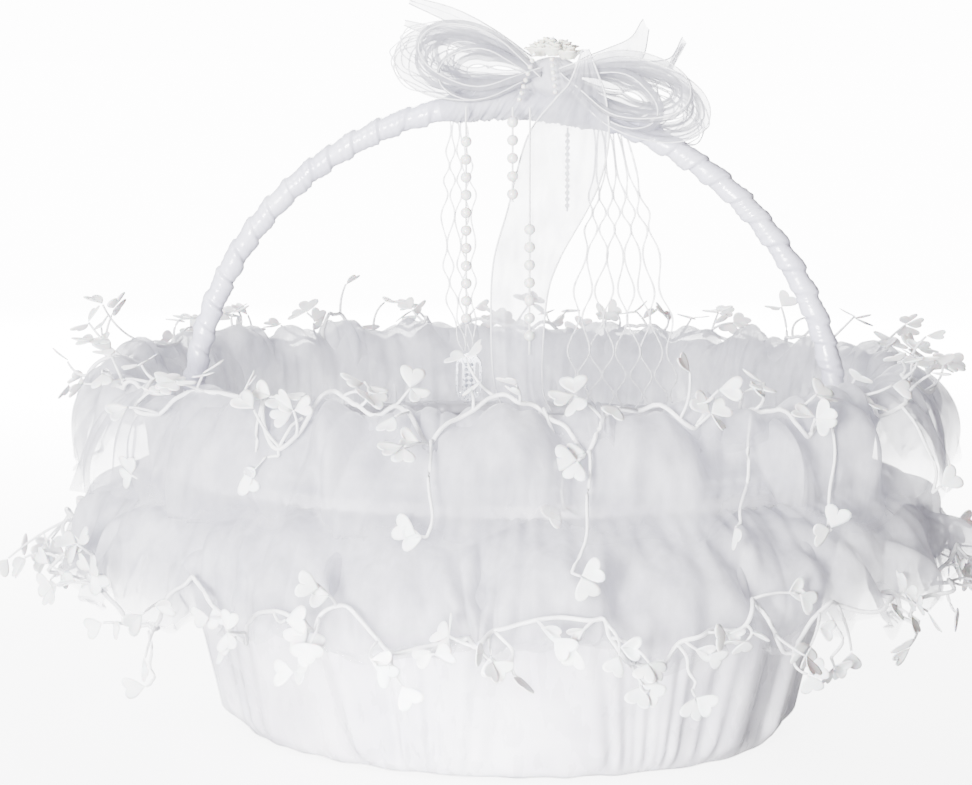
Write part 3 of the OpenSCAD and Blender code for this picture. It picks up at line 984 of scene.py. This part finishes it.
def surface_frame(surface, f, v):
    """Point, outward normal, direction along the ring and direction down the cloth."""

    def at(ff, vv):
        return surface(np.array([ff]), np.array([vv]))[0]

    p = at(f, v)
    along = unit(at(f + 0.004, v) - at(f - 0.004, v))
    down = unit(at(f, min(v + 0.04, 1)) - at(f, max(v - 0.04, 0)))
    out = unit(np.cross(down, along))
    middle = np.array([0, 0, p[2] - 25])
    if np.dot(out, p - middle) < 0:
        out = -out
    return p, out, along, down


def vine_path(surface, seed, v0, swing):
    """Points of a cord that wanders over the cloth of a ruffle."""
    count = 900
    f = np.arange(count) / count
    v = v0 + swing * waves(seed, 10, 34, 8)(f)
    p = surface(f + 0.004 * waves(seed + 1, 14, 40, 8)(f), np.clip(v, 0, 1))
    away = 3.2 + 3.0 * (1 + waves(seed + 2, 12, 40, 8)(f)) / 2
    out = unit(p * np.array([1, 1, 0]))
    up = smooth_step(np.clip(v0, 0, 1), 0.3, 0.9)
    return p + away[:, None] * (out * up + np.array([0, 0, 1]) * (1 - up))


def add_sprig(stems, petals, rng, root, out, along, down, length, count):
    """One curved stem from root with a few petals at its end and perhaps one beside it."""
    tip_dir = unit(
        out * rng.uniform(0.35, 1.0) + along * rng.uniform(-0.6, 0.6) * 1.6
        + down * rng.uniform(-0.5, 0.9)
    )
    bend = unit(
        out * rng.uniform(0.2, 0.8) + along * rng.uniform(-1, 1) + down * rng.uniform(-0.6, 1)
    )
    t = np.linspace(0, 1, 9)[:, None]
    path = root + length * (tip_dir * t * (1 - 0.35 * t) + bend * 0.45 * t**2)
    stems.add(*tube(path, np.linspace(0.65, 0.45, 9), 6))
    end_dir = unit(path[-1] - path[-2])
    for k in range(count):
        turn = (k - (count - 1) / 2) * rng.uniform(1.2, 1.7)
        side = unit(np.cross(end_dir, out) + 1e-6)
        direction = end_dir * math.cos(turn) + side * math.sin(turn) + down * 0.25
        direction = unit(direction - 0.75 * np.dot(direction, out) * out)
        normal = unit(out + 0.42 * np.array([rng.uniform(-1, 1) for _ in range(3)]))
        width = rng.uniform(8.2, 10.4)
        verts, faces = heart(width, rng.uniform(-0.12, 0.16), rng.uniform(-0.03, 0.10))
        at = path[-1] + direction * 0.3
        petals.add(verts @ facing(direction, normal).T + at, faces)
    if rng.random() < 0.35:
        k = rng.randint(3, 6)
        direction = unit(out * 0.4 + along * rng.choice([-1, 1]) + down * 0.4)
        verts, faces = heart(rng.uniform(7.5, 9.5), 0.2, 0.1)
        normal = unit(out + 0.5 * np.array([rng.uniform(-1, 1) for _ in range(3)]))
        petals.add(verts @ facing(direction, normal).T + path[k], faces)


def make_vine(level, surface, v0, swing, seed, count, hanging):
    """A satin cord on a ruffle with its sprigs and petals, and sprigs that hang down its front."""
    rng = random.Random(seed)
    path = vine_path(surface, seed, v0, swing)
    piece(
        f"vine_cord_{level}", *tube(path, 0.85, 8, closed=True), CORD, "basket", "satin_cord",
        [f"vine_{level}"],
    )
    stems, petals = Build(), Build()
    for i in range(count):
        f = (i + 0.5 + 0.35 * rng.uniform(-1, 1)) / count
        k = int(f * len(path)) % len(path)
        _, out, along, down = surface_frame(surface, f, v0)
        at_left_end = abs(f - 0.5) < 0.035
        reach = 1.6 if at_left_end else 1.0
        add_sprig(
            stems, petals, rng, path[k], out, along, down, reach * rng.uniform(7, 19),
            rng.choice([1, 1, 1, 1, 2, 2, 3]),
        )
    for x, length, petal_count in hanging:
        f = front_fraction(x)
        k = int(f * len(path)) % len(path)
        _, out, along, down = surface_frame(surface, f, min(v0 + 0.3, 0.95))
        fall = unit(np.array([rng.uniform(-0.35, 0.35), 0, -1]) + 0.25 * out)
        t = np.linspace(0, 1, 17)[:, None]
        sway = np.sin(t * rng.uniform(2, 4)) * rng.uniform(1.2, 2.6) * along
        curl = 1.7 * t * np.sin(9 * t + rng.uniform(0, TAU)) * along
        line = path[k] + out * (2 + 5 * np.sin(t * 2.4)) + fall * t * length + sway + curl
        stems.add(*tube(line, 0.6, 8))
        add_sprig(stems, petals, rng, line[-1], out, along, down, 4, petal_count)
    piece(
        f"vine_stems_{level}", stems.points(), stems.faces, CORD, "basket", "satin_cord",
        [f"sprigs_{level}"],
    )
    piece(
        f"vine_petals_{level}", petals.points(), petals.faces, PETAL, "basket", "petal",
        [f"petals_{level}"], thick=0.35,
    )


make_vine(
    "upper", upper_outer, 0.50, 0.12, 71, 92,
    [(-62, 24, 1), (-45, 16, 1), (-3, 34, 1), (27, 38, 1), (44, 44, 2), (92, 40, 1),
     (112, 46, 2), (128, 34, 1), (-104, 30, 2)],
)
make_vine(
    "lower", lower_outer, 0.86, 0.12, 81, 104,
    [(-95, 16, 1), (-40, 14, 2), (18, 15, 1), (64, 16, 2), (104, 14, 2)],
)


# ---- the bow ------------------------------------------------------------------------------


def strip(path, across, width, columns=14, ripple=None):
    """Cloth along a path, spread along across. ripple(t, w) pushes it along its normal."""
    path = np.asarray(path, float)
    rows = len(path)
    across = unit(np.broadcast_to(np.asarray(across, float), (rows, 3)))
    width = np.broadcast_to(np.asarray(width, float), (rows,))
    t, w = np.meshgrid(np.linspace(0, 1, rows), np.linspace(-0.5, 0.5, columns), indexing="ij")
    verts = path[:, None] + across[:, None] * (width[:, None] * w)[..., None]
    if ripple is not None:
        ahead = unit(np.gradient(path, axis=0))
        normal = unit(np.cross(ahead, across))
        verts = verts + normal[:, None] * ripple(t, w)[..., None]
    return verts


def sheet_piece(name, verts, material, body, slot, replaces=()):
    """A piece of cloth from a grid of points."""
    rows, columns = verts.shape[:2]
    obj = piece(
        name, verts.reshape(-1, 3), grid_faces(rows, columns), material, body, slot, replaces
    )


def make_band():
    """Organza wound round the handle under the bow, in slanting folds that thin out at its ends."""
    low, high = cad_box("bow_band")
    start = math.acos(min(1, (high.x - 4) / (HANDLE_R + 7)))
    end = math.acos((low.x + 4) / (HANDLE_R + 7))
    rows, sides = 170, 48
    s, a = np.meshgrid(
        np.linspace(-0.12, 1.06, rows), np.arange(sides) / sides, indexing="ij"
    )
    fold = waves(91, 4, 9, 6)
    fine = waves(92, 10, 22, 8)
    fade = smooth_step(s, -0.12, 0.1) * (1 - smooth_step(s, 0.92, 1.06))
    r = WRAP_R + 0.2 + fade * (1.6 + 0.75 * fold(a + 2.2 * s) + 0.35 * fine(a + 3 * s))
    verts = handle_point(start + (end - start) * s, r, a * TAU)
    piece(
        "bow_band_organza", verts.reshape(-1, 3), grid_faces(rows, sides, False, True),
        ORGANZA_KNOT, "basket", "organza", ["bow_band"],
    )


def make_knot():
    """The gathered middle of the bow: upright pleats pulled in at top and bottom."""
    rows, columns = 60, 120
    e, a = np.meshgrid(
        np.linspace(-math.pi / 2, math.pi / 2, rows), np.arange(columns) / columns, indexing="ij"
    )
    pleats = waves(93, 7, 15, 8)
    fine = waves(94, 20, 34, 8)
    bulge = 1 + 0.09 * pleats(a + 0.05 * e) * np.cos(e) + 0.03 * fine(a + 0.03 * e)
    x = KNOT.x + 11.5 * bulge * np.cos(e) * np.cos(a * TAU)
    y = KNOT.y + 8.2 * bulge * np.cos(e) * np.sin(a * TAU)
    z = KNOT.z - 1 + 8.8 * np.sin(e)
    verts = np.stack([x, y, z], -1)
    piece(
        "bow_knot_organza", verts.reshape(-1, 3), grid_faces(rows, columns, False, True),
        ORGANZA_KNOT, "basket", "organza", ["bow_knot"],
    )


def loop_path(side, angle, length, height, points=72):
    """Outline of a bow loop in the XZ plane, out from the knot, round its end and back."""
    a = np.linspace(0, TAU, points)
    along = (1 - np.cos(a)) / 2
    x = along * length
    z = height / 2 * np.sin(a) * np.sqrt(along) * 1.15
    c, s = math.cos(angle), math.sin(angle)
    across = KNOT.x + side * (5 + x * c - z * s)
    return np.stack([across, 0 * x, KNOT.z + 1 + x * s + z * c], -1)


def make_organza_loop(name, node, side, angle, length, height, seed):
    """Wide organza ribbon wound three times: pinched at the knot, open towards the viewer."""
    low, high = cad_box(node)
    winds = []
    for tilt, size, depth in ((0.0, 1.0, 1.0), (0.13, 0.86, -2.0), (-0.11, 0.70, 3.0)):
        wind = loop_path(side, angle + tilt, length * size, height * size)
        wind[:, 1] = (low.y + high.y) / 2 + depth
        winds.append(wind[:-1])
    path = np.vstack(winds)
    along = np.abs(path[:, 0] - KNOT.x) / length
    width = 7 + 17 * smooth_step(along, 0.05, 0.6)
    folds = waves(seed, 2, 5, 5)
    fine = waves(seed + 1, 6, 14, 6)
    centre = np.array([path[:, 0].mean(), 0, path[:, 2].mean()])
    away = unit((path - centre) * np.array([1, 0, 1]))
    across = np.array([0, -1, 0]) + 0.38 * away

    def ripple(t, w):
        return 1.6 * folds(w + 0.15 * t) * (0.5 + np.abs(w)) + 0.4 * fine(w + 0.3 * t)

    verts = strip(path, across, width, 18, ripple)
    sheet_piece(
        name, verts, ORGANZA_RIBBON, "basket", "organza", [node]
    )
    return [verts[:, 0], verts[:, -1]]


def make_net_loop(name, node, side, angle, length, height, strands, seed):
    """A loop of crocheted net: fine yarns side by side that meet again and again."""
    low, high = cad_box(node)
    rng = random.Random(seed)
    net = Build()
    for k in range(strands):
        share = (k + 0.5) / strands
        size = rng.uniform(0.55, 1.0)
        points = 90
        path = loop_path(
            side, angle + rng.uniform(-0.13, 0.13), length * size, height * rng.uniform(0.55, 1.0),
            points,
        )
        t = np.linspace(0, 1, points)
        meet = (-1) ** k * np.cos(math.pi * 13 * t)
        path[:, 1] = low.y + (high.y - low.y) * (share + 0.35 * meet / strands)
        path += (0.8 * meet * np.sin(math.pi * t))[:, None] * np.array([0.3, 0, 1.0])
        net.add(*tube(path, 0.2 + 0.12 * rng.random(), 6))
    obj = piece(name, net.points(), net.faces, NET, "basket", "net", [node])


def make_ribbon_end(name, path, width, across, seed, replaces=()):
    """A loose end of organza ribbon, narrow at both ends, and the two lines of its edges."""
    t = np.linspace(0, 1, 40)
    path = along_line(path, t)
    widths = width * (0.25 + 0.75 * np.sin(math.pi * np.clip(t * 0.92 + 0.04, 0, 1)) ** 0.8)
    folds = waves(seed, 1, 3, 4)
    verts = strip(path, across, widths, 12, lambda t, w: 1.2 * folds(w * 0.8 + 0.3 * t))
    sheet_piece(
        name, verts, ORGANZA_RIBBON, "basket", "organza", replaces
    )
    return [verts[:, 0], verts[:, -1]]


# Name, path, width, direction across, seed and replaced nodes of each loose ribbon end
RIBBON_ENDS = (
    ("ribbon_end_left_organza", [(8, 10, 277), (-10, 14, 286), (-28, 17, 295), (-44, 17, 301)],
     8, (0.3, -0.5, 1), 103, ["ribbon_end_left"]),
    ("ribbon_end_left_low", [(6, 9, 275), (-12, 13, 281), (-30, 16, 287), (-46, 17, 292)],
     6, (0.3, -0.7, 1), 104),
    ("ribbon_end_right_organza", [(28, 10, 274), (40, 14, 276), (50, 17, 281), (54, 17, 291)],
     12, (-0.5, -0.4, 1), 105, ["ribbon_end_right"]),
    ("ribbon_end_right_low", [(30, 10, 271), (48, 14, 270), (62, 17, 272), (69, 17, 283)],
     14, (-0.3, -0.5, -1), 106),
)


def make_edges(name, lines, body, radius=0.28, ride=True):
    """The fine satin thread woven along the edges of the sheer ribbons."""
    edges = Build()
    for line in lines:
        edges.add(*tube(line, radius, 6))
    return piece(name, edges.points(), edges.faces, CORD, body, "satin_cord", ride=ride)


def cupped_petal(width, length, cup, curl):
    """A round petal of thin foam that stands on its foot at the origin, facing +X."""
    rows, columns = 9, 9
    t, w = np.meshgrid(np.linspace(0, 1, rows), np.linspace(-1, 1, columns), indexing="ij")
    half = width / 2 * np.sqrt(np.clip(np.sin(math.pi * np.clip(0.12 + 0.8 * t, 0, 1)), 0, 1))
    y = w * half
    x = cup * (w**2) * -width * 0.35 + curl * length * t**3
    z = length * t + 0.3 * (1 - w**2) * length * t * 0.3
    return np.stack([x, y, z], -1).reshape(-1, 3), grid_faces(rows, columns)


def make_rosette():
    """Small rosebuds of thin ivory foam on top of the knot."""
    low, high = cad_box("rosette_petals")
    petals = Build()
    rng = random.Random(95)
    centre = np.array([(low.x + high.x) / 2, (low.y + high.y) / 2, low.z])
    buds = [(-5.5, -2.5, -0.6, 1.0), (0.8, -3.6, -0.4, 0.95), (6.2, -2.0, -1.8, 1.0),
            (-2.2, 1.6, 0.6, 1.1), (3.8, 2.2, 0.2, 1.0)]
    rings = ((5, 2.5, 0.6), (4, 1.5, 0.3), (3, 0.7, 0.1))
    for dx, dy, dz, size in buds:
        for ring, (number, spread, tilt) in enumerate(rings):
            for k in range(number):
                turn = TAU * (k + 0.4 * ring + 0.2 * rng.random()) / number
                verts, faces = cupped_petal(
                    size * (6.2 - 1.1 * ring), size * (4.6 + 0.5 * ring), 0.8, 0.35 - 0.1 * ring
                )
                lean = Matrix.Rotation(turn, 3, "Z") @ Matrix.Rotation(tilt, 3, "Y")
                foot = centre + np.array([dx, dy, dz]) + spread * size * np.array(
                    [math.cos(turn), math.sin(turn), 0]
                )
                petals.add(verts @ np.array(lean).T + foot, faces)
    piece(
        "rosette_buds", petals.points(), petals.faces, ROSETTE, "basket", "rosette",
        ["rosette_petals"], thick=0.5,
    )


def make_ribbon():
    """The wide organza ribbon: folded like a leaf over the knot, then hanging free."""
    left = [(31, 281), (26, 268), (20, 261), (9, 246), (1, 217), (-5, 195), (-6, 170),
            (-4.6, 146), (0, 133)]
    right = [(33.5, 281), (37.5, 271), (40.5, 262), (42, 246), (39, 230), (33.5, 217), (22, 196),
             (17, 179), (15.3, 146), (19, 134)]
    rows, columns = 150, 40
    t = np.linspace(0, 1, rows)
    a, b = along_line(left, t), along_line(right, t)
    w = np.linspace(0, 1, columns)[None, :]
    flat = a[:, None] * (1 - w[..., None]) + b[:, None] * w[..., None]
    lean = t[:, None]
    narrow = smooth_step(lean, 0.35, 0.6)
    y = (
        TAIL_Y + (0.5 + 1.3 * narrow) * np.sin(TAU * (1.6 * w + 0.5 * lean))
        + 0.45 * np.sin(TAU * (4.3 * w - 0.8 * lean + 0.2))
    )
    verts = np.stack([flat[..., 0], y, flat[..., 1]], -1)
    obj = piece(
        "wide_ribbon", verts.reshape(-1, 3), grid_faces(rows, columns), ORGANZA_RIBBON,
        "ribbon_tail", "organza", ["ribbon_fold", "ribbon_tail"], ride=False,
    )
    edges = make_edges(
        "wide_ribbon_edges", [verts[:, 0], verts[:, -1]], "ribbon_tail", 0.38, ride=False
    )
    for part in (obj, edges):
        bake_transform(part)


def make_net_trail(node, slot, left, right, strands, cells, radius, seed):
    """Hanging crocheted net: each yarn swings between its two neighbours and meets them."""
    rng = random.Random(seed)
    steps = 150
    t = np.linspace(0, 1, steps)
    a, b = along_line(left, t), along_line(right, t)
    net = Build()
    sway = waves(seed + 1, 1, 3, 4)
    stretched = cells * t**0.9 + 0.55 * waves(seed + 2, 1, 4, 5)(0.8 * t)
    for k in range(strands):
        drift = waves(seed + 3 + k, 1, 4, 4)(0.8 * t)
        swing = 0.5 * rng.uniform(0.75, 1) * (-1) ** k * np.cos(math.pi * stretched)
        swing = swing + 0.16 * drift * np.sin(math.pi * np.clip(2 * t, 0, 1) / 2)
        if k in (0, strands - 1):
            swing = swing * 0.8
        w = (k + 0.5 + swing) / strands
        x = a[:, 0] * (1 - w) + b[:, 0] * w
        z = a[:, 1] * (1 - w) + b[:, 1] * w
        y = BACK_Y + 1.6 * sway(0.5 * t + 0.3 * w) * t + 0.35 * (-1) ** k
        thick = radius * (1 + 0.35 * np.abs(np.cos(math.pi * stretched)))
        net.add(*tube(np.stack([x, y, z], -1), thick, 6))
    obj = piece(f"{node}_yarn", net.points(), net.faces, NET, node, slot, [node])


def make_bow():
    make_band()
    make_knot()
    edges = make_organza_loop(
        "organza_loop_left_ribbon", "organza_loop_left", -1, 0.12, 54, 26, 96
    )
    edges += make_organza_loop(
        "organza_loop_right_ribbon", "organza_loop_right", 1, -0.30, 56, 24, 98
    )
    make_net_loop("net_loop_left_yarn", "net_loop_left", -1, 0.16, 68, 27, 22, 101)
    make_net_loop("net_loop_right_yarn", "net_loop_right", 1, -0.36, 62, 30, 20, 102)
    for ribbon_end in RIBBON_ENDS:
        edges += make_ribbon_end(*ribbon_end)
    make_edges("bow_ribbon_edges", edges, "basket")
    make_rosette()
    make_ribbon()


make_bow()
make_net_trail(
    "net_trail", "net",
    [(33, 258), (33, 238), (29, 205), (24, 170), (22, 134)],
    [(44, 258), (50, 238), (60, 205), (67, 170), (71, 133)], 9, 11, 0.34, 111,
)
make_net_trail(
    "lace_trail", "lace",
    [(-26, 258), (-29, 225), (-30, 200), (-28, 178), (-21.5, 156)],
    [(-20, 258), (-15, 225), (-15, 200), (-15, 178), (-14.5, 156)], 5, 14, 0.3, 115,
)


def dress_cad_nodes():
    """Materials of the CAD parts that are shown as they are."""
    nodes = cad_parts
    for material, names in (
        (wood_material("plywood", (0.50, 0.36, 0.22), (0.68, 0.52, 0.35)), ["base_board"]),
        (wicker_material(), ["wall_weave"]),
        (
            wood_material("cane", (0.52, 0.37, 0.20), (0.70, 0.55, 0.34), 120.0),
            ["wall_stakes", "rim_hoop_outer", "rim_hoop_inner", "handle_rod"],
        ),
        (metal_material("steel", (0.62, 0.62, 0.64), 0.3), ["handle_pins"]),
        (metal_material("silver", (0.45, 0.46, 0.50), 0.22), ["buckle_frame"]),
        (stone_material(), ["buckle_stones"]),
        (PEARL, ["rosette_pearl", "knot_beads"]),
    ):
        for name in names:
            nodes[name].data.materials.clear()
            nodes[name].data.materials.append(material)


dress_cad_nodes()


# ---- light and floor ----------------------------------------------------------------------


def add_area_light(name, place, aim, size, power, colour, spread=180):
    data = bpy.data.lights.new(name, "AREA")
    data.shape = "RECTANGLE"
    data.size, data.size_y = size
    data.energy = power
    data.color = colour
    data.spread = math.radians(spread)
    light = bpy.data.objects.new(name, data)
    light.location = place
    direction = Vector(aim) - Vector(place)
    light.rotation_euler = direction.to_track_quat("-Z", "Y").to_euler()
    bpy.context.scene.collection.objects.link(light)


def add_world(shown, lit):
    """White surroundings that are seen brighter than they light, and are dimmer on the right."""
    world = bpy.data.worlds.new("studio")
    world.use_nodes = True
    tree = world.node_tree
    links = tree.links
    coordinates = tree.nodes.new("ShaderNodeTexCoord")
    split = tree.nodes.new("ShaderNodeSeparateXYZ")
    links.new(coordinates.outputs["Generated"], split.inputs[0])
    tint = tree.nodes.new("ShaderNodeValToRGB")
    tint.color_ramp.elements[0].position = 0.34
    tint.color_ramp.elements[0].color = (0.90, 0.92, 1.0, 1)
    tint.color_ramp.elements[1].position = 0.66
    tint.color_ramp.elements[1].color = (0.19, 0.135, 0.125, 1)
    side = tree.nodes.new("ShaderNodeMapRange")
    side.inputs["From Min"].default_value = -1
    side.inputs["From Max"].default_value = 1
    links.new(split.outputs["X"], side.inputs["Value"])
    links.new(side.outputs["Result"], tint.inputs["Fac"])
    background = tree.nodes["Background"]
    links.new(tint.outputs["Color"], background.inputs["Color"])
    background.inputs["Strength"].default_value = lit
    seen = tree.nodes.new("ShaderNodeBackground")
    seen.inputs["Color"].default_value = (1, 1, 1, 1)
    seen.inputs["Strength"].default_value = shown
    path = tree.nodes.new("ShaderNodeLightPath")
    mix = tree.nodes.new("ShaderNodeMixShader")
    links.new(path.outputs["Is Camera Ray"], mix.inputs["Fac"])
    links.new(background.outputs[0], mix.inputs[1])
    links.new(seen.outputs[0], mix.inputs[2])
    links.new(mix.outputs[0], tree.nodes["World Output"].inputs["Surface"])
    bpy.context.scene.world = world


def add_floor(shown):
    """A pale floor that runs out into the white of the surroundings."""
    n = Nodes("floor")
    tone = n.noise(4.0, 2.0)
    distance = n.add("ShaderNodeVectorMath", {0: n.place}, operation="LENGTH").outputs["Value"]
    glow = n.ramp(distance, 0.45 * shown, shown, 0.2, 1.2)
    seen = n.add("ShaderNodeLightPath").outputs["Is Camera Ray"]
    n.set(
        Base_Color=n.ramp(tone, (0.56, 0.56, 0.57), (0.60, 0.60, 0.61)),
        Roughness=0.8,
        Specular_IOR_Level=0.2,
        Emission_Color=(1, 1, 1, 1),
        Emission_Strength=n.math("MULTIPLY", glow, seen),
    )
    mesh = bpy.data.meshes.new("floor")
    size = 30.0
    mesh.from_pydata(
        [(-size, -size, 0), (size, -size, 0), (size, size, 0), (-size, size, 0)], [], [(0, 1, 2, 3)]
    )
    mesh.materials.append(n.material)
    floor = bpy.data.objects.new("floor", mesh)
    bpy.context.scene.collection.objects.link(floor)


# Strength of the white that the camera sees behind and under the basket
BACKDROP = 14.0
add_world(shown=BACKDROP, lit=0.72)
add_floor(BACKDROP)
add_area_light("key", (-1.0, -0.9, 1.2), (0, 0, 0.15), (0.6, 0.6), 30, (0.96, 0.96, 1.0))
add_area_light("front", (-0.32, -1.4, 0.25), (0, 0, 0.08), (0.4, 0.4), 106, (1.0, 0.99, 0.98))
add_area_light("low", (-0.03, -0.62, 0.02), (-0.01, 0, 0.025), (0.14, 0.03), 0.32, (1, 1, 1), 22)
add_area_light("back", (-0.3, 1.3, 0.7), (0, 0.1, 0.13), (0.8, 0.8), 75, (1.0, 1.0, 1.0))
